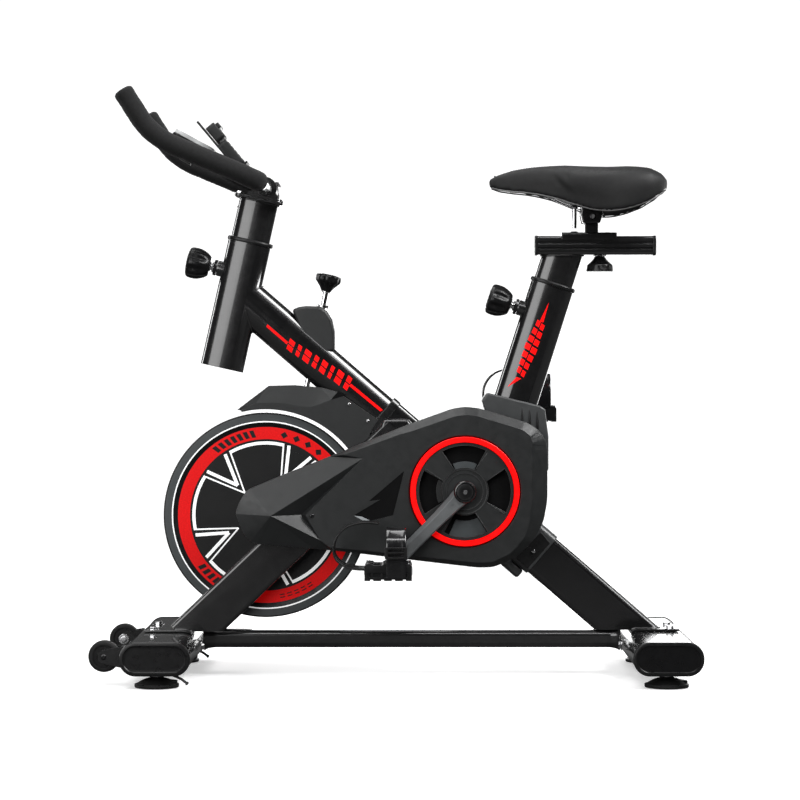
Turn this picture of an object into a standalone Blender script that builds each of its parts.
"""Indoor spin bike. Metres, +Z up, the bike faces -X, its left side faces -Y.
The origin is on the floor, under the middle of the bike's length, in its middle plane.
Pieces are laid out from the base's middle and all moved to that origin at the end.
Moving groups are parented to empties that stand on their joints."""
import math

import bmesh
import bpy
from mathutils import Matrix, Vector

for old in list(bpy.data.objects):
    bpy.data.objects.remove(old, do_unlink=True)


def xz(x, z, y=0.0):
    """Point or direction in the middle plane, or off it by y."""
    return Vector((x, y, z))


def quarter_turn(direction):
    """A direction of the middle plane turned from +X towards +Z by 90 degrees."""
    return xz(-direction.z, direction.x)


ACROSS = Vector((0, 1, 0))
UP = Vector((0, 0, 1))
SIDES = ((-1, "left"), (1, "right"))

# ---------------------------------------------------------------- driving dimensions
GAP = 0.0004                     # between separate pieces that rest on each other

# base: stabilizer tubes lie along Y
STAB_WIDTH = 0.460               # with the end caps
STAB_DEPTH = 0.0535              # half, along X
STAB_HEIGHT = 0.0250             # half
STAB_FLAT = 0.0005               # half height less corner radius
STAB_Z = 0.0470
FRONT_X, REAR_X = -0.389, 0.4010
STABILIZERS = ((FRONT_X, "front"), (REAR_X, "rear"))
CAP_THICK = 0.003
CAP_LIP = 0.0008                 # cap beyond the tube, along X
FOOT_Y = 0.190
FRAME_BOTTOM = 0.0735            # the frame is trimmed off below this, between the stabilizers
TRANSPORT_CENTER = xz(-0.4752, 0.0440)
TRANSPORT_R = 0.0248

# oval tubes: half depth in the middle plane, half width
SPINE = (0.0330, 0.0205)
POST = (0.0320, 0.0180)
BORE = (POST[0] + GAP, POST[1] + GAP)
SLEEVE = (0.0355, 0.0215)
POST_WALL = 0.0025

# frame lines
SPINE_START = xz(-0.2554, 0.6000)                  # on the spine's axis, at the head
SPINE_DIR = xz(0.7573, -0.6532).normalized()
JOINT = SPINE_START + SPINE_DIR * 0.30             # oval tube meets the square rear leg
HEAD_BOTTOM, HEAD_TOP = xz(-0.3013, 0.4956), xz(-0.2565, 0.6963)
HEAD_DIR = (HEAD_TOP - HEAD_BOTTOM).normalized()
HEAD_FORWARD = quarter_turn(HEAD_DIR)              # forward and a little up
SEAT_BOTTOM, SEAT_TOP = xz(0.1732, 0.4409), xz(0.2331, 0.6273)
SEAT_DIR = (SEAT_TOP - SEAT_BOTTOM).normalized()
SEAT_FORWARD = quarter_turn(SEAT_DIR)
SEAT_TUBE_FOOT = xz(0.1265, 0.2956)
HEAD_PIN = HEAD_BOTTOM + HEAD_DIR * 0.1563         # height pins leave the sleeves' axes here
SEAT_PIN = SEAT_BOTTOM + SEAT_DIR * 0.1472
PINS = (("head", HEAD_PIN, HEAD_FORWARD), ("seat", SEAT_PIN, SEAT_FORWARD))

# front blades, one each side of the flywheel
BLADE_DEPTH = 0.0325                               # half
BLADE_INNER, BLADE_OUTER = 0.0260, 0.0520          # distances of the faces from the middle
BLADE_MIDDLE = (BLADE_INNER + BLADE_OUTER) / 2
BLADE_HALF = (BLADE_OUTER - BLADE_INNER) / 2
BLADE_START = xz(-0.3361, 0.0804)
BLADE_DIR = xz(0.7243, 0.6895).normalized()

# drive
BRACKET = xz(0.0900, 0.2995)                       # bottom bracket centre
CRANK_LENGTH = 0.170
CRANK_DEG = 225.0                                  # left crank, from +X towards +Z
CRANK_DIR = xz(math.cos(math.radians(CRANK_DEG)), math.sin(math.radians(CRANK_DEG)))
PEDAL_LEFT = BRACKET + CRANK_DIR * CRANK_LENGTH
PEDAL_RIGHT = BRACKET - CRANK_DIR * CRANK_LENGTH
CRANK_IN, CRANK_OUT = 0.1060, 0.1200               # arm's faces, from the middle
PEDAL_IN, PEDAL_OUT = 0.1270, 0.2150
PULLEY_R, PINION_R, BELT_THICK = 0.0950, 0.0260, 0.0030
RIM_LEFT, RIM_RIGHT = -0.0800, -0.0660             # Y faces of both pulley rims
WHEEL_CENTER = xz(-0.2298, 0.2585)
WHEEL_R, WHEEL_HALF = 0.1650, 0.0190
AXLE_HOLE_R = 0.0104
COVER_RIGHT, COVER_LEFT = -0.0563, -0.0990         # Y of the cover's open edge and its face

# handlebar
POST_TOP = HEAD_TOP + HEAD_DIR * 0.0705            # underside of the post's top plate
PLATE_THICK = 0.0045
BAR_R, GRIP_R = 0.0125, 0.0156
BAR_CENTER = POST_TOP + HEAD_DIR * (PLATE_THICK + GAP + 0.0160) + xz(0.0060, -0.0013)
TABLET_HINGE = xz(-0.2590, 0.8150)
TABLET_UP = xz(-0.640, 0.768).normalized()         # along the panel, up and forward
TABLET_OUT = xz(0.768, 0.640).normalized()         # towards the rider
TABLET_PIN_R = 0.0030
MONITOR_CENTER = xz(-0.3480, 0.8540)
MONITOR_UP = xz(0.480, 0.877).normalized()         # out of the monitor's face
MONITOR_HALF = 0.0080

# seat
RAIL_BOTTOM, RAIL_TOP = 0.6780, 0.7085
SLIDER_X = 0.3100                                  # slider knob's axis
PILLAR_X = 0.2960
TILT = xz(PILLAR_X, 0.7400)                        # saddle's tilting axis

# brake
ROD_DIR = xz(0.2, 0.98).normalized()
ROD_CENTER = xz(-0.1396, 0.590)
ROD_TIP = xz(-0.1755, 0.4142)                      # the rod's axis near the flywheel's rim
PAD_TOP = ROD_TIP + ROD_DIR * 0.0225               # reference for the pad and its holder
HOLDER_DROP = 0.0020                               # holder's underside below PAD_TOP

# ---------------------------------------------------------------- materials
MATERIALS = {
    "black_paint": dict(color=(0.012, 0.012, 0.013), roughness=0.22),
    "black_plastic": dict(color=(0.030, 0.031, 0.032), roughness=0.50),
    "grey_plastic": dict(color=(0.060, 0.062, 0.063), roughness=0.45),
    "black_rubber": dict(color=(0.018, 0.018, 0.018), roughness=0.80),
    "red_gloss": dict(color=(0.80, 0.004, 0.004), roughness=0.30),
    "wheel_paint": dict(color=(0.035, 0.038, 0.039), roughness=0.35),
    "steel": dict(color=(0.62, 0.62, 0.63), roughness=0.22, metallic=1.0),
    "foam": dict(color=(0.020, 0.020, 0.021), roughness=0.75),
    "vinyl": dict(color=(0.022, 0.022, 0.023), roughness=0.55),
}


def make_material(name, color, roughness, metallic=0.0):
    material = bpy.data.materials.new(name)
    material.use_nodes = True
    inputs = material.node_tree.nodes["Principled BSDF"].inputs
    inputs["Base Color"].default_value = (*color, 1)
    inputs["Roughness"].default_value = roughness
    inputs["Metallic"].default_value = metallic


for material_name, settings in MATERIALS.items():
    make_material(material_name, **settings)


# ---------------------------------------------------------------- outlines
def oval(half, grow=0.0):
    """Superellipse of 20 points; half is its (half depth, half width)."""
    count, power = 20, 2 / 2.35
    points = []
    for i in range(count):
        angle = 2 * math.pi * (i + 0.5) / count
        cos, sin = math.cos(angle), math.sin(angle)
        points.append(((half[0] + grow) * math.copysign(abs(cos) ** power, cos),
                       (half[1] + grow) * math.copysign(abs(sin) ** power, sin)))
    return points


def rounded(half_x, half_y, radius, segments=3):
    """Rounded rectangle, with the given number of segments in each corner."""
    x, y = half_x - radius, half_y - radius
    points = []
    for corner_x, corner_y, start in ((x, y, 0), (-x, y, 90), (-x, -y, 180), (x, -y, 270)):
        for i in range(segments + 1):
            angle = math.radians(start + 90 * i / segments)
            points.append((corner_x + radius * math.cos(angle),
                           corner_y + radius * math.sin(angle)))
    return points


def polar(center, radius, degrees):
    angle = math.radians(degrees)
    return center.x + radius * math.cos(angle), center.z + radius * math.sin(angle)


def flat(points):
    """XZ outline through points."""
    return [(p.x, p.z) for p in points]


def around(center, offsets):
    """XZ outline given by its offsets from a centre."""
    return [(center.x + x, center.z + z) for x, z in offsets]


def span(side, inner, outer):
    """Y range, low to high, between two distances from the middle plane on one side."""
    return sorted((side * inner, side * outer))


# ---------------------------------------------------------------- solids
def new_solid(verts, faces):
    mesh = bpy.data.meshes.new("part")
    mesh.from_pydata([tuple(v) for v in verts], [], faces)
    bm = bmesh.new()
    bm.from_mesh(mesh)
    bmesh.ops.recalc_face_normals(bm, faces=bm.faces)
    if bm.calc_volume(signed=True) < 0:
        bmesh.ops.reverse_faces(bm, faces=bm.faces)
    bm.to_mesh(mesh)
    bm.free()
    obj = bpy.data.objects.new("part", mesh)
    bpy.context.scene.collection.objects.link(obj)
    return obj


def loft(rings, closed=False):
    """Skin through rings of equal length; the ends are capped unless the loft is closed."""
    size, count = len(rings[0]), len(rings)
    faces = []
    for i in range(count if closed else count - 1):
        this, following = i * size, ((i + 1) % count) * size
        for j in range(size):
            k = (j + 1) % size
            faces.append((this + j, this + k, following + k, following + j))
    if not closed:
        faces.append(tuple(range(size))[::-1])
        faces.append(tuple((count - 1) * size + j for j in range(size)))
    return new_solid([point for ring in rings for point in ring], faces)


def bar(start, end, section):
    """Straight bar. Section points are (in the middle plane, across)."""
    depth = ACROSS.cross((end - start).normalized()).normalized()
    return loft([[p + depth * a + ACROSS * b for a, b in section] for p in (start, end)])


def plate(outline, y0, y1):
    """An XZ outline made solid from y0 to y1."""
    return loft([[Vector((x, y, z)) for x, z in outline] for y in (y0, y1)])


def box(low, high):
    outline = [(low[0], low[2]), (high[0], low[2]), (high[0], high[2]), (low[0], high[2])]
    return plate(outline, low[1], high[1])


def axes_of(axis):
    along = axis.normalized()
    first = along.orthogonal().normalized() if abs(along.y) < 0.9 else Vector((1, 0, 0))
    first = (first - along * first.dot(along)).normalized()
    return along, first, along.cross(first)


def round_ring(center, first, second, radius, count, lobes=0, depth=0.0):
    """Circle of points in the plane of two axes. lobes scallops it by depth."""
    points = []
    for i in range(count):
        angle = 2 * math.pi * i / count
        reach = radius * (1 - depth * (0.5 - 0.5 * math.cos(lobes * angle)))
        points.append(center + first * (reach * math.cos(angle))
                      + second * (reach * math.sin(angle)))
    return points


def turned(profile, center, axis=ACROSS, count=16, lobes=0, depth=0.0):
    """Turned solid, capped at both ends. The profile is a list of (radius, height)."""
    along, first, second = axes_of(axis)
    return loft([round_ring(center + along * height, first, second, radius, count, lobes, depth)
                 for radius, height in profile])


def cylinder(radius, start, end, center, axis=ACROSS, count=16):
    return turned([(radius, start), (radius, end)], center, axis, count)


def turned_ring(section, center, count):
    """Turned solid with a hole, round Y. The section is a closed loop of (radius, height)."""
    along, first, second = axes_of(ACROSS)
    rings = []
    for i in range(count):
        angle = 2 * math.pi * i / count
        outward = first * math.cos(angle) + second * math.sin(angle)
        rings.append([center + along * height + outward * radius for radius, height in section])
    return loft(rings, closed=True)


def path_frames(path):
    """(point, direction, first axis, second axis) at each point of a path, without twist."""
    frames = []
    first = None
    for i, point in enumerate(path):
        along = (path[min(i + 1, len(path) - 1)] - path[max(i - 1, 0)]).normalized()
        if first is None:
            first = along.orthogonal().normalized()
        else:
            first = (first - along * first.dot(along)).normalized()
        frames.append((point, along, first, along.cross(first)))
    return frames


def sweep(path, radius, count):
    """A round bar along a list of points."""
    return loft([round_ring(point, first, second, radius, count)
                 for point, _, first, second in path_frames(path)])


# ---------------------------------------------------------------- joining and finishing
def combine(obj, tools, operation):
    """Booleans obj with each tool in turn, and removes the tools."""
    for tool in tools:
        modifier = obj.modifiers.new(operation, "BOOLEAN")
        modifier.operation = operation
        modifier.solver = "EXACT"
        modifier.object = tool
        depsgraph = bpy.context.evaluated_depsgraph_get()
        mesh = bpy.data.meshes.new_from_object(obj.evaluated_get(depsgraph),
                                               depsgraph=depsgraph)
        obj.modifiers.clear()
        obj.data = mesh
        bpy.data.objects.remove(tool, do_unlink=True)


def add(obj, *tools):
    combine(obj, tools, "UNION")


def cut(obj, *tools):
    combine(obj, tools, "DIFFERENCE")


def finish(obj, name, material, sharp=35, origin=None):
    """Names the piece, gives it one material, smooth shading and, if asked, an origin."""
    obj.name = name
    mesh = obj.data
    mesh.name = name
    mesh.materials.clear()
    mesh.materials.append(bpy.data.materials[material])
    for polygon in mesh.polygons:
        polygon.material_index = 0
    mesh.shade_smooth()
    mesh.set_sharp_from_angle(angle=math.radians(sharp))
    if origin is not None:
        mesh.transform(Matrix.Translation(-origin))
        obj.location = origin


# ---------------------------------------------------------------- main frame
SQUARE_LEG = (0.0355, 0.0225, 0.010)     # rear leg: half depth, half width, corner radius
SQUARE_LEG_BORE = (0.0323, 0.0193, 0.007)
TUBE_WALL = 0.003
YOKE = [  # x, z
    (-0.062, 0.352), (-0.030, 0.340), (0.022, 0.345),
    (0.030, 0.375), (0.000, 0.412), (-0.040, 0.412)]


def on_spine(x):
    return SPINE_START + SPINE_DIR * ((x - SPINE_START.x) / SPINE_DIR.x)


def stab_section(center_x, grow_depth, grow_height, flat_part=STAB_FLAT, segments=5):
    """The stabilizer's XZ section, grown or shrunk."""
    height = STAB_HEIGHT + grow_height
    section = rounded(STAB_DEPTH + grow_depth, height, height - flat_part, segments)
    return [(center_x + x, STAB_Z + z) for x, z in section]


def add_tubes(frame):
    """Spine, rear leg and seat tube."""
    add(frame,
        bar(SPINE_START - SPINE_DIR * 0.012, JOINT, oval(SPINE)),
        bar(JOINT - SPINE_DIR * 0.02, on_spine(0.40), rounded(*SQUARE_LEG)),
        bar(SEAT_TUBE_FOOT, SEAT_TOP, oval(SLEEVE)))


def add_blades(frame):
    """Front blades with the flywheel's dropout plates, and the yoke that ties them."""
    section = rounded(BLADE_DEPTH, BLADE_HALF, 0.005, 2)
    dropout = [(-0.130, 0.300), (-0.190, 0.300)]
    dropout += [polar(WHEEL_CENTER, 0.024, degrees) for degrees in range(100, 281, 30)]
    dropout += [(-0.215, 0.215), (-0.150, 0.235)]
    for side, _ in SIDES:
        start = BLADE_START + ACROSS * (side * BLADE_MIDDLE)
        add(frame,
            bar(start - BLADE_DIR * 0.03, start + BLADE_DIR * 0.447, section),
            plate(dropout, *span(side, 0.0445, 0.0505)))
    yoke_half = BLADE_OUTER - 0.0002
    add(frame, plate(YOKE, -yoke_half, yoke_half))


def saddle_bracket(center_x, inward, half_width):
    """Curved plate over a stabilizer's top and inner side. inward is the sign of X."""
    def layer(lift):
        radius = STAB_HEIGHT - STAB_FLAT + lift
        x = center_x + inward * (STAB_DEPTH - STAB_HEIGHT + STAB_FLAT)
        z = STAB_Z + STAB_FLAT
        points = []
        for degrees in range(-18, 91, 18):
            angle = math.radians(degrees)
            points.append((x + inward * radius * math.cos(angle), z + radius * math.sin(angle)))
        return points + [(center_x - inward * 0.034, z + radius)]
    return plate(layer(GAP) + layer(0.0045)[::-1], -half_width, half_width)


def fit_to_base(frame):
    """Clears the stabilizers, then adds the saddle brackets and the pin bosses, and trims."""
    clearance = 0.0015
    for center_x, _ in STABILIZERS:
        half = STAB_DEPTH + clearance
        upper = [p for p in stab_section(center_x, clearance, clearance) if p[1] > STAB_Z]
        outline = [(center_x + half, -0.06)] + upper + [(center_x - half, -0.06)]
        cut(frame, plate(outline, -0.1, 0.1))
    add(frame, saddle_bracket(FRONT_X, 1, 0.058), saddle_bracket(REAR_X, -1, 0.040))
    for _, point, forward in PINS:
        boss = [(0.0125, 0.020), (0.0125, 0.041), (0.0110, 0.0435)]
        add(frame, turned(boss, point, forward, 12))
    cut(frame, box((-0.347, -0.1, 0.0), (0.358, 0.1, FRAME_BOTTOM)))


def hollow_tubes(frame):
    cut(frame,
        bar(SPINE_START - SPINE_DIR * 0.012, JOINT, oval(SPINE, -TUBE_WALL)),
        bar(JOINT - SPINE_DIR * 0.019, on_spine(0.42), rounded(*SQUARE_LEG_BORE)),
        bar(HEAD_BOTTOM - HEAD_DIR * 0.02, HEAD_TOP + HEAD_DIR * 0.02, oval(BORE)),
        bar(SEAT_TUBE_FOOT + SEAT_DIR * 0.015, SEAT_TOP + SEAT_DIR * 0.02, oval(BORE)))
    section = rounded(BLADE_DEPTH - TUBE_WALL, BLADE_HALF - TUBE_WALL, 0.003, 1)
    for side, _ in SIDES:
        start = BLADE_START + ACROSS * (side * BLADE_MIDDLE)
        cut(frame, bar(start - BLADE_DIR * 0.05, start + BLADE_DIR * 0.38, section))


def bore_frame(frame):
    """Bottom bracket shell and the holes of spindle, axle, height pins and brake rod."""
    add(frame, cylinder(0.0225, -0.046, 0.046, BRACKET, count=24))
    cut(frame,
        cylinder(0.0090, -0.06, 0.06, BRACKET, count=20),
        cylinder(AXLE_HOLE_R, -0.06, 0.06, WHEEL_CENTER, count=20))
    for _, point, forward in PINS:
        cut(frame, cylinder(0.0064, 0.025, 0.060, point, forward, 14))
    cut(frame, cylinder(0.0075, -0.14, 0.10, ROD_CENTER, ROD_DIR, 14))


def main_frame():
    frame = bar(HEAD_BOTTOM, HEAD_TOP, oval(SLEEVE))
    add_tubes(frame)
    add_blades(frame)
    fit_to_base(frame)
    hollow_tubes(frame)
    bore_frame(frame)
    finish(frame, "main_frame", "black_paint")


# ---------------------------------------------------------------- base
FOOT_PROFILE = [  # radius, height: rubber disc, cone and stem
    (0.0345, 0.0), (0.0345, 0.0035), (0.0235, 0.0115),
    (0.0110, 0.0165), (0.0054, 0.0166), (0.0054, 0.0385)]
TRANSPORT_SECTION = [  # radius, height along Y
    (0.0047, -0.0095), (0.0180, -0.0095), (0.0225, -0.0095), (TRANSPORT_R, -0.0060),
    (TRANSPORT_R, 0.0060), (0.0225, 0.0095), (0.0047, 0.0095)]
BRACKET_ARM = [  # x, z from the transport wheel's centre
    (-0.008, -0.006), (-0.002, -0.010), (0.022, -0.016), (0.0312, -0.0175),
    (0.0312, 0.0160), (0.018, 0.0145), (-0.003, 0.010), (-0.009, 0.005)]
TRANSPORT_Y = 0.146


def base_bar():
    obj = bar(xz(-0.3303, 0.0585), xz(0.3423, 0.0585), rounded(0.0142, 0.0205, 0.009))
    finish(obj, "base_bar", "black_paint")


def stabilizer(center_x, place):
    wall = 0.0025
    half = STAB_WIDTH / 2 - CAP_THICK - GAP
    obj = plate(stab_section(center_x, 0, 0), -half, half)
    cut(obj, plate(stab_section(center_x, -wall, -wall), -0.3, 0.3))
    for side, _ in SIDES:
        cut(obj, cylinder(0.0058, 0.0, 0.035, xz(center_x, 0.01, side * FOOT_Y), UP, 12))
    finish(obj, f"{place}_stabilizer", "black_paint")


def end_cap(center_x, place, side, hand):
    """Outer plate, with a plug inside the tube."""
    end = STAB_WIDTH / 2
    obj = plate(stab_section(center_x, CAP_LIP, 0.0006, 0.0006),
                side * (end - CAP_THICK), side * end)
    add(obj, plate(stab_section(center_x, -0.0030, -0.0030, 0.0006, 3),
                   side * (end - 0.014), side * (end - 0.001)))
    finish(obj, f"{place}_cap_{hand}", "black_plastic")


def foot(center_x, place, side, hand):
    center = xz(center_x, 0, side * FOOT_Y)
    finish(turned(FOOT_PROFILE, center, UP), f"foot_{place}_{hand}", "black_rubber",
           origin=center)


def transport_wheel(side, hand):
    """The wheel, and its bracket: two arms, the web behind them and the axle."""
    center = TRANSPORT_CENTER + ACROSS * (side * TRANSPORT_Y)
    finish(turned_ring(TRANSPORT_SECTION, center, 18), f"transport_wheel_{hand}",
           "black_rubber", 50, center)
    y0, y1 = center.y - 0.0150, center.y + 0.0150
    arm = around(center, BRACKET_ARM)
    thick = 0.0032
    obj = plate(arm, y0, y0 + thick)
    add(obj,
        plate(arm, y1 - thick, y1),
        box((center.x + 0.0277, y0 - 0.0002, center.z - 0.0178),
            (center.x + 0.0320, y1 + 0.0002, center.z + 0.0162)),
        cylinder(0.0042, -0.0130, 0.0130, center, count=12))
    finish(obj, f"wheel_bracket_{hand}", "black_paint")


def base():
    base_bar()
    for center_x, place in STABILIZERS:
        stabilizer(center_x, place)
        for side, hand in SIDES:
            end_cap(center_x, place, side, hand)
            foot(center_x, place, side, hand)
    for side, hand in SIDES:
        transport_wheel(side, hand)


# ---------------------------------------------------------------- sleeve bushes, handlebar post
BUSH_SECTION = [  # half depth, half width, height above the sleeve's top
    (*BORE, GAP), (0.0385, 0.0245, GAP), (0.0400, 0.0260, 0.0060),
    (0.0392, 0.0252, 0.0085), (*BORE, 0.0085)]


def bush(prefix, top, direction):
    back = -quarter_turn(direction)
    levels = [(oval((depth, width)), height) for depth, width, height in BUSH_SECTION]
    rings = [[top + direction * height + back * section[i][0] + ACROSS * section[i][1]
              for section, height in levels] for i in range(len(levels[0][0]))]
    finish(loft(rings, closed=True), f"{prefix}_bush", "black_plastic")


def handlebar_post():
    """Hollow post with a plate on top."""
    obj = bar(POST_TOP - HEAD_DIR * 0.255, POST_TOP + HEAD_DIR * 0.002, oval(POST))
    cut(obj, bar(POST_TOP - HEAD_DIR * 0.30, POST_TOP - HEAD_DIR * 0.004,
                 oval(POST, -POST_WALL)))
    add(obj, bar(POST_TOP, POST_TOP + HEAD_DIR * PLATE_THICK, rounded(0.0400, 0.0300, 0.008)))
    finish(obj, "handlebar_post", "black_paint", origin=POST_TOP)


# ---------------------------------------------------------------- handlebar
ARM_Y = 0.197
ARM_KNEE = xz(-0.3960, 0.8530)
ARM_END = xz(-0.4405, 0.9225)
CORNER_BEND = 0.045
BAR_SIDES = 12
GRIP_FIRST = 3                   # the grip starts at this point of the half path


def bend_points(start, corner, end):
    """Quadratic curve of four steps."""
    return [start.lerp(corner, t).lerp(corner.lerp(end, t), t) for t in (0, 0.25, 0.5, 0.75, 1)]


def handle_path(side):
    """Half of the handlebar, from the middle to the grip's end."""
    offset = ACROSS * (side * ARM_Y)
    lower = (ARM_KNEE - BAR_CENTER).normalized()
    upper = (ARM_END - ARM_KNEE).normalized()
    corner = BAR_CENTER + offset
    knee = ARM_KNEE + offset
    return [
        BAR_CENTER,
        BAR_CENTER + ACROSS * (side * 0.05),
        *bend_points(corner - ACROSS * (side * CORNER_BEND), corner,
                     corner + lower * CORNER_BEND),
        *bend_points(knee - lower * 0.040, knee, knee + upper * 0.036),
        ARM_END + offset]


def grip(path, hand):
    """Foam sleeve: a tube round the bar, cut straight at its ends."""
    inner = BAR_R / math.cos(math.pi / BAR_SIDES) + 0.0006
    frames = path_frames(path)

    def ring(frame, radius, shift=0.0):
        point, along, first, second = frame
        return round_ring(point + along * shift, first, second, radius, BAR_SIDES)

    last = frames[-1]
    beyond = 0.0025
    rings = [ring(frame, GRIP_R) for frame in frames]
    rings += [ring(last, GRIP_R - 0.002, beyond), ring(last, inner, beyond)]
    rings += [ring(frame, inner) for frame in frames[::-1]]
    finish(loft(rings, closed=True), f"grip_{hand}", "foam", 60)


def handlebar():
    left, right = handle_path(-1), handle_path(1)
    obj = sweep(left[::-1] + right[1:], BAR_R, BAR_SIDES)
    finish(obj, "handlebar", "black_paint", 60)
    grip(left[GRIP_FIRST:], "left")
    grip(right[GRIP_FIRST:], "right")


def clamp_outline():
    """Foot on the post's plate, with an arch over the bar."""
    back = -HEAD_FORWARD
    radius = 0.0190
    plate_top = POST_TOP + HEAD_DIR * (PLATE_THICK + GAP)
    below_bar = plate_top + back * (BAR_CENTER - plate_top).dot(back)
    front = below_bar - back * 0.026
    rear = below_bar + back * 0.024
    points = [front, rear, rear + HEAD_DIR * 0.005]
    for degrees in range(-10, 201, 21):
        angle = math.radians(degrees)
        points.append(BAR_CENTER + back * (radius * math.cos(angle))
                      + HEAD_DIR * (radius * math.sin(angle)))
    points.append(front + HEAD_DIR * 0.005)
    return flat(points)


def handlebar_clamp():
    """Clamp over the bar, with the monitor's stem and the tablet holder's hinge lug."""
    obj = plate(clamp_outline(), -0.030, 0.030)
    cut(obj, cylinder(BAR_R + 0.0003, -0.05, 0.05, BAR_CENTER, count=24))
    stem = xz(-0.915, 0.403).normalized()
    add(obj, bar(BAR_CENTER + stem * 0.016, BAR_CENTER + stem * 0.127,
                 rounded(0.0040, 0.0130, 0.002, 1)))
    lug = around(BAR_CENTER, [(-0.014, 0.010), (0.004, 0.015)])
    lug += around(TABLET_HINGE, [(0.0065, 0.001), (0.003, 0.0065), (-0.005, 0.005),
                                 (-0.0075, -0.004)])
    add(obj, plate(lug, -0.0090, 0.0090))
    cut(obj, cylinder(0.0034, -0.02, 0.02, TABLET_HINGE, count=10))
    # upright that meets the monitor's underside
    top = MONITOR_CENTER - MONITOR_UP * (MONITOR_HALF + GAP)
    add(obj, bar(top - MONITOR_UP * 0.024, top, rounded(0.0100, 0.0120, 0.002, 1)))
    finish(obj, "handlebar_clamp", "black_plastic")


def monitor():
    """Rounded block with a bevelled upper edge."""
    obj = bar(MONITOR_CENTER - MONITOR_UP * MONITOR_HALF,
              MONITOR_CENTER + MONITOR_UP * MONITOR_HALF, rounded(0.0360, 0.0440, 0.010, 2))
    bm = bmesh.new()
    bm.from_mesh(obj.data)
    level = MONITOR_HALF - 0.0001
    edges = [e for e in bm.edges
             if all((v.co - MONITOR_CENTER).dot(MONITOR_UP) > level for v in e.verts)]
    bmesh.ops.bevel(bm, geom=edges, offset=0.003, segments=1, affect="EDGES")
    bm.to_mesh(obj.data)
    bm.free()
    finish(obj, "monitor", "black_plastic")


# ---------------------------------------------------------------- tablet holder
def on_tablet(along, out):
    """Point in the holder's own frame: along the panel, and out from it to the rider."""
    return TABLET_HINGE + TABLET_UP * along + TABLET_OUT * out


def slab(along, out, half):
    """Block in the holder's frame from two ranges and half its width."""
    corners = [on_tablet(along[0], out[0]), on_tablet(along[1], out[0]),
               on_tablet(along[1], out[1]), on_tablet(along[0], out[1])]
    return plate(flat(corners), -half, half)


def tablet_holder():
    """Wide panel, guide box, lower ledge, and two ears on a pin through the lug."""
    obj = slab((0.0110, 0.1050), (-0.0142, -0.0106), 0.0880)
    add(obj,
        slab((0.0100, 0.0610), (-0.0140, 0.0045), 0.0300),
        slab((0.0085, 0.0120), (-0.0120, 0.0085), 0.0290))
    cut(obj, slab((0.0240, 0.0700), (-0.0106, -0.0050), 0.0205))
    ear = [on_tablet(-0.0030, -0.0055), on_tablet(-0.0058, 0.0), on_tablet(-0.0030, 0.0055),
           on_tablet(0.0120, 0.0040), on_tablet(0.0120, -0.0040)]
    for side, _ in SIDES:
        add(obj, plate(flat(ear), *span(side, 0.0096, 0.0150)))
    add(obj, cylinder(TABLET_PIN_R, -0.0110, 0.0110, TABLET_HINGE, count=10))
    finish(obj, "tablet_holder", "black_plastic", origin=TABLET_HINGE)


def tablet_clip():
    """Sliding jaw for the tablet's upper edge: its tongue runs in the guide box."""
    obj = slab((0.0300, 0.0680), (-0.0102, -0.0054), 0.0200)
    add(obj,
        slab((0.0640, 0.0945), (-0.0100, 0.0070), 0.0260),
        slab((0.0800, 0.0900), (0.0060, 0.0125), 0.0255))
    finish(obj, "tablet_clip", "black_plastic")


# ---------------------------------------------------------------- height pins and knobs
# radius, distance from the sleeve's axis
PIN_PROFILE = [
    (0.0060, 0.0328), (0.0060, 0.0460), (0.0052, 0.0480),
    (0.0052, 0.0530), (0.0070, 0.0531), (0.0070, 0.0541)]
KNOB_PROFILE = [
    (0.0090, 0.0545), (0.0160, 0.0560), (0.0215, 0.0650),
    (0.0250, 0.0760), (0.0245, 0.0880), (0.0200, 0.0925)]


def pin_and_knob(prefix, point, forward):
    finish(turned(PIN_PROFILE, point, forward, 12), f"{prefix}_pin", "steel",
           origin=point + forward * 0.0500)
    finish(turned(KNOB_PROFILE, point, forward, 24, lobes=6, depth=0.10), f"{prefix}_knob",
           "black_plastic", 50, point + forward * 0.0750)


# ---------------------------------------------------------------- seat post and saddle
CARRIAGE_X = (0.2470, 0.3360)
CARRIAGE_Z = RAIL_TOP + GAP
CARRIAGE_HALF = 0.0265
PILLAR_HALF = 0.0110
SLIDER_KNOB = [  # radius, height from the slide rail's underside less the gap
    (0.0075, -0.0010), (0.0085, -0.0050), (0.0150, -0.0110),
    (0.0205, -0.0150), (0.0215, -0.0260)]
CHEEK = [  # x, z from the tilting axis
    (-0.015, -0.011), (0.013, -0.011), (0.018, 0.004),
    (0.016, 0.0165), (-0.016, 0.0165), (-0.018, 0.002)]
SADDLE_RAIL = [  # x, y, z of the right half, nose to tail
    (0.1950, 0.0, 0.7870), (0.2120, 0.010, 0.7840), (0.2500, 0.0200, 0.7660),
    (0.2700, 0.0200, 0.7608), (0.3220, 0.0200, 0.7608), (0.3500, 0.0270, 0.7660),
    (0.3800, 0.0400, 0.7780)]
SADDLE = [  # x, half width, top z, side bottom z; nose to tail
    (0.1340, 0.0100, 0.8010, 0.7900), (0.1480, 0.0185, 0.8090, 0.7860),
    (0.1700, 0.0240, 0.8155, 0.7830), (0.2000, 0.0290, 0.8200, 0.7800),
    (0.2350, 0.0370, 0.8215, 0.7725), (0.2650, 0.0530, 0.8200, 0.7620),
    (0.2950, 0.0740, 0.8180, 0.7520), (0.3250, 0.0940, 0.8165, 0.7490),
    (0.3550, 0.1020, 0.8165, 0.7540), (0.3850, 0.1000, 0.8150, 0.7650),
    (0.4050, 0.0850, 0.8080, 0.7770), (0.4130, 0.0620, 0.8000, 0.7840)]


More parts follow.
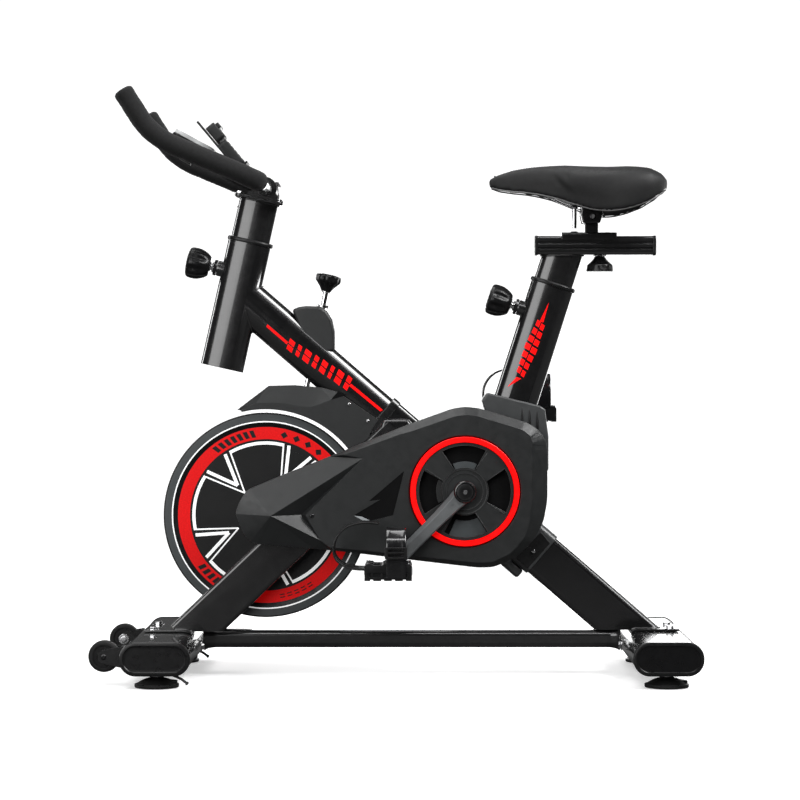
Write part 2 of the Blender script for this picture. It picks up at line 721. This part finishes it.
def seat_post():
    """Hollow post, with the slotted slide rail on top."""
    rise = (RAIL_BOTTOM + 0.0040 - SEAT_TOP.z) / SEAT_DIR.z
    top = SEAT_TOP + SEAT_DIR * rise
    obj = bar(SEAT_TOP - SEAT_DIR * 0.190, top + SEAT_DIR * 0.02, oval(POST))
    cut(obj,
        box((0.1, -0.1, RAIL_BOTTOM + 0.003), (0.5, 0.1, 0.9)),
        bar(SEAT_TOP - SEAT_DIR * 0.25, SEAT_TOP + SEAT_DIR * 0.036, oval(POST, -POST_WALL)))
    middle = (RAIL_BOTTOM + RAIL_TOP) / 2
    section = rounded((RAIL_TOP - RAIL_BOTTOM) / 2, 0.0220, 0.006)
    add(obj, loft([[Vector((x, y, middle + z)) for z, y in section] for x in (0.2040, 0.4000)]))
    cut(obj, box((SLIDER_X - 0.062, -0.0050, 0.60), (SLIDER_X + 0.062, 0.0050, 0.80)))
    finish(obj, "seat_post", "black_paint", origin=SEAT_TOP)


def saddle_carriage():
    """Plate with side skirts, a pillar with the tilt eye, and the slider knob's stud."""
    front, rear = CARRIAGE_X
    bottom = CARRIAGE_Z
    obj = box((front, -CARRIAGE_HALF, bottom), (rear, CARRIAGE_HALF, bottom + 0.0050))
    skirt = [(front, bottom + 0.0049), (rear, bottom + 0.0049), (rear, bottom - 0.0060),
             (front + 0.010, bottom - 0.0085)]
    for side, _ in SIDES:
        add(obj, plate(skirt, *span(side, 0.0226, CARRIAGE_HALF)))
    add(obj,
        box((PILLAR_X - 0.011, -PILLAR_HALF, bottom + 0.002),
            (PILLAR_X + 0.011, PILLAR_HALF, 0.7315)),
        cylinder(0.0115, -PILLAR_HALF, PILLAR_HALF, TILT),
        cylinder(0.0042, RAIL_BOTTOM - 0.0190 - bottom, 0.003, xz(SLIDER_X, bottom), UP, 12))
    cut(obj, cylinder(0.0046, -0.05, 0.05, TILT, count=14))
    finish(obj, "saddle_carriage", "black_paint")


def slider_knob():
    obj = turned(SLIDER_KNOB, xz(SLIDER_X, RAIL_BOTTOM - GAP), UP, 24, lobes=6, depth=0.12)
    cut(obj, cylinder(0.0045, -0.0225, 0.01, xz(SLIDER_X, RAIL_BOTTOM), UP, 12))
    finish(obj, "slider_knob", "black_plastic", 50, xz(SLIDER_X, RAIL_BOTTOM - 0.014))


def saddle_clamp():
    """Two cheeks on a cross bolt, holding the saddle rails."""
    obj = cylinder(0.0040, -0.0290, 0.0290, TILT, count=12)
    for side, _ in SIDES:
        add(obj, plate(around(TILT, CHEEK), *span(side, 0.0118, 0.0270)))
    finish(obj, "saddle_clamp", "black_paint", origin=TILT)


def saddle_rails():
    """One bent rod, joined at the nose."""
    right = [Vector(point) for point in SADDLE_RAIL]
    left = [Vector((x, -y, z)) for x, y, z in SADDLE_RAIL]
    finish(sweep(left[::-1] + right[1:], 0.0036, 8), "saddle_rails", "steel", 60)


def saddle_ring(x, width, top, bottom):
    """Section of the saddle: top, shoulder, side wall, lower edge and raised underside."""
    if width < 0.03:
        under = max(bottom, 0.7900) + 0.0005
    else:
        under = max(bottom + 0.006, 0.7880)
    under = min(under, top - 0.012)
    dip = 0.0035 if width > 0.05 else 0.0
    shoulder = 0.012 if top - bottom > 0.02 else 0.004
    half = [
        (0.0, top - dip), (0.45 * width, top - dip * 0.4), (0.78 * width, top - 0.003),
        (0.95 * width, top - shoulder), (width, (top + bottom) / 2 - 0.004),
        (0.97 * width, bottom + 0.001), (0.90 * width, bottom), (0.80 * width, under),
        (0.40 * width, under)]
    mirrored = [(-y, z) for y, z in half[1:][::-1]]
    return [Vector((x, y, z)) for y, z in half + [(0, under)] + mirrored]


def seat():
    seat_post()
    saddle_carriage()
    slider_knob()
    saddle_clamp()
    saddle_rails()
    finish(loft([saddle_ring(*station) for station in SADDLE]), "saddle", "vinyl", 70)


# ---------------------------------------------------------------- flywheel and crank set
FLYWHEEL_HALF = [  # radius, distance from the middle: hub, web and rim
    (AXLE_HOLE_R, 0.0250), (0.0260, 0.0250), (0.0260, 0.0090),
    (0.1400, 0.0090), (0.1440, WHEEL_HALF), (WHEEL_R, WHEEL_HALF)]
AXLE_PROFILE = [  # radius, y
    (0.0060, -0.0860), (0.0060, -0.0815), (0.0100, -0.0814),
    (0.0100, 0.0570), (0.0060, 0.0571), (0.0060, 0.0640)]
RIM_BASE_R = 0.0870
DRIVE_PULLEY = [  # radius, y
    (0.0090, -0.0860), (0.0200, -0.0860), (0.0200, -0.0770), (RIM_BASE_R, -0.0770),
    (RIM_BASE_R, RIM_LEFT), (PULLEY_R, RIM_LEFT), (PULLEY_R, RIM_RIGHT),
    (RIM_BASE_R, RIM_RIGHT), (RIM_BASE_R, -0.0695), (0.0200, -0.0695),
    (0.0200, -0.0610), (0.0090, -0.0610)]


def flywheel():
    """Flywheel, its axle and its small pulley."""
    section = [(radius, -y) for radius, y in FLYWHEEL_HALF] + FLYWHEEL_HALF[::-1]
    finish(turned_ring(section, WHEEL_CENTER, 48), "flywheel", "wheel_paint",
           origin=WHEEL_CENTER)
    finish(turned(AXLE_PROFILE, WHEEL_CENTER), "flywheel_axle", "steel", origin=WHEEL_CENTER)
    pinion = [(AXLE_HOLE_R, RIM_LEFT), (PINION_R, RIM_LEFT),
              (PINION_R, RIM_RIGHT), (AXLE_HOLE_R, RIM_RIGHT)]
    finish(turned_ring(pinion, WHEEL_CENTER, 24), "flywheel_pulley", "black_paint",
           origin=WHEEL_CENTER)


def crank(side, hand, direction):
    """Arm with its boss on the spindle, and the pedal's axle."""
    end = BRACKET + direction * CRANK_LENGTH
    normal = quarter_turn(direction)
    half = 0.0125
    tip = 0.0135
    points = []
    for degrees in range(-90, 91, 30):
        angle = math.radians(degrees)
        points.append(end + direction * (tip * math.cos(angle))
                      + normal * (tip * math.sin(angle)))
    root = BRACKET - direction * 0.002
    neck = BRACKET + direction * 0.016
    points += [neck + normal * half, root + normal * half,
               root - normal * half, neck - normal * half]
    obj = plate(flat(points), *span(side, CRANK_IN, CRANK_OUT))
    boss = [(0.0180, side * (CRANK_IN - 0.0020)), (0.0180, side * (CRANK_OUT + 0.0010)),
            (0.0160, side * (CRANK_OUT + 0.0030))]
    add(obj, turned(boss, BRACKET, count=20))
    cut(obj, cylinder(0.0089, side * (CRANK_IN - 0.02), side * 0.1125, BRACKET))
    add(obj, cylinder(0.0060, side * (CRANK_OUT - 0.003), side * (PEDAL_OUT - 0.004), end,
                      count=12))
    finish(obj, f"crank_{hand}", "black_paint", origin=BRACKET)


def crank_set():
    finish(cylinder(0.0086, -0.1050, 0.1050, BRACKET), "crank_spindle", "steel",
           origin=BRACKET)
    finish(turned_ring(DRIVE_PULLEY, BRACKET, 32), "drive_pulley", "black_paint",
           origin=BRACKET)
    crank(-1, "left", CRANK_DIR)
    crank(1, "right", -CRANK_DIR)


# ---------------------------------------------------------------- pedals
PEDAL_DEPTH, PEDAL_HEIGHT = 0.0365, 0.0130         # half sizes
CAGE_LINE = [  # x, z from the pedal's centre: forward, up and back over the toes
    (-0.0340, 0.0040), (-0.0600, 0.0060), (-0.0800, 0.0180), (-0.0850, 0.0360),
    (-0.0780, 0.0560), (-0.0620, 0.0700), (-0.0380, 0.0755), (-0.0150, 0.0740)]
CAGE_THICK = 0.0028


def pedal_outline():
    """Body section, with four notches in the underside and chamfered upper edges."""
    depth, height = PEDAL_DEPTH, PEDAL_HEIGHT
    chamfer, notch = 0.003, 0.0022
    points = [(-depth, -height)]
    for k in range(4):
        x = -depth + 0.0105 + k * 0.0165
        points += [(x, -height), (x, -height + notch),
                   (x + 0.0052, -height + notch), (x + 0.0052, -height)]
    return points + [(depth, -height), (depth, height - chamfer), (depth - chamfer, height),
                     (-depth + chamfer, height), (-depth, height - chamfer)]


def cage_outline():
    """The cage line thickened by half to each side."""
    outer, inner = [], []
    for i, (x, z) in enumerate(CAGE_LINE):
        x0, z0 = CAGE_LINE[max(i - 1, 0)]
        x1, z1 = CAGE_LINE[min(i + 1, len(CAGE_LINE) - 1)]
        length = math.hypot(x1 - x0, z1 - z0)
        shift_x = (z1 - z0) / length * CAGE_THICK / 2
        shift_z = -(x1 - x0) / length * CAGE_THICK / 2
        outer.append((x + shift_x, z + shift_z))
        inner.append((x - shift_x, z - shift_z))
    return outer + inner[::-1]


def pedal(side, hand, center):
    """Pedal body with its toe cage."""
    y0, y1 = span(side, PEDAL_IN, PEDAL_OUT)
    obj = plate(around(center, pedal_outline()), y0, y1)
    # openings before and behind the axle housing
    for x0, x1 in ((-0.0290, -0.0125), (0.0125, 0.0290)):
        cut(obj, box((center.x + x0, y0 + 0.012, center.z - 0.03),
                     (center.x + x1, y1 - 0.012, center.z + 0.03)))
    add(obj, plate(around(center, cage_outline()), y0 + 0.004, y1 - 0.004))
    cut(obj, cylinder(0.0064, side * (PEDAL_IN - 0.02), side * (PEDAL_OUT - 0.003), center,
                      count=14))
    finish(obj, f"pedal_{hand}", "black_plastic", origin=center)


def toe_strap(side, hand, center):
    """Flat band arched over the pedal from end to end."""
    middle = side * (PEDAL_IN + PEDAL_OUT) / 2
    reach = (PEDAL_OUT - PEDAL_IN) / 2 + 0.0006
    foot_z = center.z - 0.0060

    def arch(grow):
        half = reach + grow
        points = [(middle + half, foot_z)]
        for i in range(13):
            cos, sin = math.cos(math.pi * i / 12), math.sin(math.pi * i / 12)
            points.append((middle + half * math.copysign(abs(cos) ** 0.55, cos),
                           center.z + 0.012 + (0.0540 + grow) * abs(sin) ** 0.75))
        return points + [(middle - half, foot_z)]

    loop = arch(0.0022) + arch(0.0)[::-1]
    strap_x = center.x + 0.0205
    half_width = 0.0125
    obj = loft([[Vector((x, y, z)) for y, z in loop]
                for x in (strap_x - half_width, strap_x + half_width)])
    finish(obj, f"toe_strap_{hand}", "black_rubber", 50, center)


def pedals():
    for (side, hand), center in zip(SIDES, (PEDAL_LEFT, PEDAL_RIGHT)):
        pedal(side, hand, center)
        toe_strap(side, hand, center)


# ---------------------------------------------------------------- belt
def belt_loop(lift):
    """XZ line of an open belt round both pulleys, lifted off their rims."""
    steps = 14
    crank_r, wheel_r = PULLEY_R + lift, PINION_R + lift
    dx, dz = WHEEL_CENTER.x - BRACKET.x, WHEEL_CENTER.z - BRACKET.z
    base_angle = math.degrees(math.atan2(dz, dx))
    wrap = math.degrees(math.acos((crank_r - wheel_r) / math.hypot(dx, dz)))
    points = [polar(BRACKET, crank_r, base_angle + wrap + (360 - 2 * wrap) * i / (steps * 2))
              for i in range(steps * 2 + 1)]
    return points + [polar(WHEEL_CENTER, wheel_r, base_angle - wrap + 2 * wrap * i / steps)
                     for i in range(steps + 1)]


def drive_belt():
    clearance = 0.0008
    y0, y1 = RIM_LEFT + 0.0018, RIM_RIGHT - 0.0018
    rings = [[xz(*outer, y0), xz(*outer, y1), xz(*inner, y1), xz(*inner, y0)]
             for outer, inner in zip(belt_loop(clearance + BELT_THICK), belt_loop(clearance))]
    finish(loft(rings, closed=True), "drive_belt", "black_rubber")


# ---------------------------------------------------------------- belt cover
COVER = [  # x, z
    (-0.2740, 0.2655), (-0.2690, 0.2800), (-0.2570, 0.3010), (-0.2100, 0.3210),
    (-0.1145, 0.3585), (-0.0050, 0.4035), (0.0320, 0.4170), (0.0700, 0.4305),
    (0.0900, 0.4335), (0.1120, 0.4315), (0.1880, 0.4090), (0.2050, 0.3990),
    (0.2165, 0.3845), (0.2215, 0.3660), (0.2215, 0.2850), (0.2150, 0.2500),
    (0.1990, 0.2210), (0.1700, 0.1935), (0.1350, 0.1790), (0.1100, 0.1785),
    (0.0200, 0.1890), (-0.1110, 0.2050), (-0.2450, 0.2170), (-0.2600, 0.2300),
    (-0.2680, 0.2480)]
# inset of the outline, y
COVER_OUTSIDE = [
    (0.0, COVER_RIGHT), (0.0, COVER_LEFT + 0.0150),
    (0.0030, COVER_LEFT + 0.0070), (0.0110, COVER_LEFT)]
COVER_INSIDE = [
    (0.0030, COVER_RIGHT + 0.01), (0.0030, COVER_LEFT + 0.0160),
    (0.0060, COVER_LEFT + 0.0090), (0.0130, COVER_LEFT + 0.0030)]
WINDOW_R = 0.0790
WINDOW = [  # radius, degrees either way: one of four openings in the round window
    (0.030, -24), (0.030, 24), (WINDOW_R - 0.002, 29), (WINDOW_R, 15),
    (WINDOW_R, 0), (WINDOW_R, -15), (WINDOW_R - 0.002, -29)]
RING_SECTION = [  # radius, y
    (0.0804, COVER_LEFT - 0.0034), (0.0874, COVER_LEFT - 0.0034),
    (0.0878, COVER_LEFT - GAP), (0.0800, COVER_LEFT - GAP)]


def inset_cover(distance):
    """The cover's outline, which runs clockwise in x, z, moved inwards corner by corner."""
    points = []
    for i, point in enumerate(COVER):
        corner = Vector(point)
        before = (corner - Vector(COVER[i - 1])).normalized()
        after = (Vector(COVER[(i + 1) % len(COVER)]) - corner).normalized()
        normal = Vector((before.y, -before.x))
        miter = (normal + Vector((after.y, -after.x))).normalized()
        points.append(tuple(corner + miter * (distance / max(0.5, miter.dot(normal)))))
    return points


def cover_loft(rows):
    return loft([[xz(x, z, y) for x, z in inset_cover(distance)] for distance, y in rows])


def belt_cover():
    """Shell, with a hub hole and the four openings of the window between spokes."""
    obj = cover_loft(COVER_OUTSIDE)
    cut(obj,
        cover_loft(COVER_INSIDE),
        cylinder(0.0200, COVER_LEFT + 0.01, COVER_LEFT - 0.16, BRACKET, count=24))
    for k in range(4):
        opening = [polar(BRACKET, radius, 90 * k + degrees) for radius, degrees in WINDOW]
        cut(obj, plate(opening, COVER_LEFT - 0.01, COVER_LEFT + 0.006))
    finish(obj, "belt_cover", "black_plastic", 25)


def cover_back_plate():
    obj = plate(inset_cover(0.0006), COVER_RIGHT + GAP, -BLADE_OUTER - GAP)
    cut(obj,
        cylinder(0.0120, -0.1, 0.1, WHEEL_CENTER, count=20),
        cylinder(0.0180, -0.1, 0.1, BRACKET, count=20))
    finish(obj, "cover_back_plate", "black_plastic")


def cover():
    belt_cover()
    cover_back_plate()
    finish(turned_ring(RING_SECTION, BRACKET, 40), "cover_ring", "red_gloss")


# ---------------------------------------------------------------- flywheel guard, shroud
# x, z
GUARD_TOP = [
    (-0.2762, 0.4280), (-0.2250, 0.4670), (-0.1840, 0.4680), (-0.1400, 0.4640),
    (-0.1140, 0.4570), (-0.0480, 0.4120), (-0.0600, 0.3985), (-0.0860, 0.3750)]
GUARD_INSIDE = [
    (-0.2600, 0.3950), (-0.2600, 0.4330), (-0.2230, 0.4635), (-0.1840, 0.4645),
    (-0.1750, 0.4636), (-0.0300, 0.4900), (0.05, 0.40), (-0.05, 0.30), (-0.2, 0.35)]
SHROUD = [
    (0.1180, 0.4440), (0.1270, 0.4560), (0.2120, 0.4350), (0.2200, 0.4300),
    (0.2260, 0.3850), (0.2260, 0.3300), (0.1900, 0.3300), (0.1350, 0.3900)]


def flywheel_guard():
    """Hollow guard over the flywheel's rim, with a hole for the brake rod."""
    arc = [polar(WHEEL_CENTER, 0.1735, degrees) for degrees in (43, 52, 62, 72, 82, 92, 102)]
    obj = plate(GUARD_TOP + arc + [(-0.2700, 0.4275)], -0.0256, 0.0256)
    cut(obj,
        plate(GUARD_INSIDE, -0.0228, 0.0228),
        cylinder(0.0085, -0.16, -0.10, ROD_CENTER, ROD_DIR, 14))
    finish(obj, "flywheel_guard", "grey_plastic")


def seat_tube_shroud():
    obj = plate(SHROUD, -0.0300, 0.0300)
    cut(obj,
        bar(SEAT_BOTTOM - SEAT_DIR * 0.30, SEAT_TOP, oval(SLEEVE, GAP)),
        box((0.10, -0.0272, 0.2), (0.2232, 0.0272, 0.4250)),
        bar(on_spine(-0.1), on_spine(0.3), rounded(0.0360, 0.0230, 0.009)))
    finish(obj, "seat_tube_shroud", "grey_plastic")


# ---------------------------------------------------------------- brake
BRAKE_HOUSING = [  # x, z
    (-0.1880, 0.5900), (-0.1760, 0.5945), (-0.1640, 0.5960), (-0.1440, 0.5950),
    (-0.1320, 0.5880), (-0.1230, 0.5740), (-0.1185, 0.5540), (-0.1185, 0.5230),
    (-0.1560, 0.5150)]
BRAKE_KNOB = [  # radius, distance along the rod
    (0.0080, 0.0300), (0.0100, 0.0340), (0.0165, 0.0420),
    (0.0205, 0.0480), (0.0200, 0.0540), (0.0140, 0.0575)]


def brake_housing():
    obj = plate(BRAKE_HOUSING, -0.0165, 0.0165)
    cut(obj,
        bar(SPINE_START, JOINT, oval(SPINE, GAP)),
        cylinder(0.0062, -0.12, 0.05, ROD_CENTER, ROD_DIR, 14))
    finish(obj, "brake_housing", "grey_plastic")


def brake_rod():
    """Rod with the pad's holder at its lower end."""
    length = (ROD_CENTER - ROD_TIP).length
    obj = cylinder(0.0050, -length + 0.0230, 0.0330, ROD_CENTER, ROD_DIR, 12)
    add(obj, bar(PAD_TOP - ROD_DIR * HOLDER_DROP, PAD_TOP + ROD_DIR * 0.0040,
                 rounded(0.0190, 0.0120, 0.003, 2)))
    finish(obj, "brake_rod", "steel", origin=ROD_CENTER)


def brake_pad():
    """Block under the holder, hollowed to the flywheel's curve."""
    obj = bar(ROD_TIP + ROD_DIR * 0.0090, PAD_TOP - ROD_DIR * (HOLDER_DROP + GAP),
              rounded(0.0170, 0.0110, 0.002, 1))
    cut(obj, cylinder(WHEEL_R + 0.0075, -0.05, 0.05, WHEEL_CENTER, count=96))
    finish(obj, "brake_pad", "black_rubber")


def brake_knob():
    obj = turned(BRAKE_KNOB, ROD_CENTER, ROD_DIR, 24, lobes=6, depth=0.06)
    cut(obj, cylinder(0.0054, 0.0, 0.0335, ROD_CENTER, ROD_DIR, 12))
    finish(obj, "brake_knob", "black_plastic", 50, ROD_CENTER + ROD_DIR * 0.045)


# ---------------------------------------------------------------- moving groups
JOINTS = [  # empty, its place, what rides on it; inner joints come before outer ones
    ("pivot_pedal_left", PEDAL_LEFT, ["pedal_left", "toe_strap_left"]),
    ("pivot_pedal_right", PEDAL_RIGHT, ["pedal_right", "toe_strap_right"]),
    ("pivot_crank", BRACKET, ["crank_spindle", "drive_pulley", "crank_left", "crank_right",
                              "pivot_pedal_left", "pivot_pedal_right"]),
    ("pivot_flywheel", WHEEL_CENTER, ["flywheel", "flywheel_axle", "flywheel_pulley"]),
    ("pivot_tablet_holder", TABLET_HINGE, ["tablet_holder", "tablet_clip"]),
    ("slide_handlebar_post", POST_TOP, ["handlebar_post", "handlebar", "grip_left",
                                        "grip_right", "handlebar_clamp", "monitor",
                                        "pivot_tablet_holder"]),
    ("pivot_saddle_tilt", TILT, ["saddle", "saddle_rails", "saddle_clamp"]),
    ("slide_saddle", xz(SLIDER_X, RAIL_TOP), ["saddle_carriage", "slider_knob",
                                              "pivot_saddle_tilt"]),
    ("slide_seat_post", SEAT_TOP, ["seat_post", "slide_saddle"]),
    ("slide_brake", ROD_CENTER, ["brake_rod", "brake_pad", "brake_knob"]),
]


def make_joint(name, place, riders):
    empty = bpy.data.objects.new(name, None)
    empty.location = place
    empty.empty_display_size = 0.03
    bpy.context.scene.collection.objects.link(empty)
    bpy.context.view_layer.update()
    for rider in riders:
        obj = bpy.data.objects[rider]
        obj.parent = empty
        obj.matrix_parent_inverse = empty.matrix_world.inverted()


def move_to_origin():
    """Centres the length from the transport wheels' front to the rear caps' back."""
    front = TRANSPORT_CENTER.x - TRANSPORT_R
    back = REAR_X + STAB_DEPTH + CAP_LIP
    for obj in bpy.data.objects:
        if obj.parent is None:
            obj.location.x -= (front + back) / 2


main_frame()
base()
bush("head", HEAD_TOP, HEAD_DIR)
bush("seat", SEAT_TOP, SEAT_DIR)
handlebar_post()
handlebar()
handlebar_clamp()
monitor()
tablet_holder()
tablet_clip()
for pin in PINS:
    pin_and_knob(*pin)
seat()
flywheel()
crank_set()
pedals()
drive_belt()
cover()
flywheel_guard()
seat_tube_shroud()
brake_housing()
brake_rod()
brake_pad()
brake_knob()
for joint in JOINTS:
    make_joint(*joint)
move_to_origin()
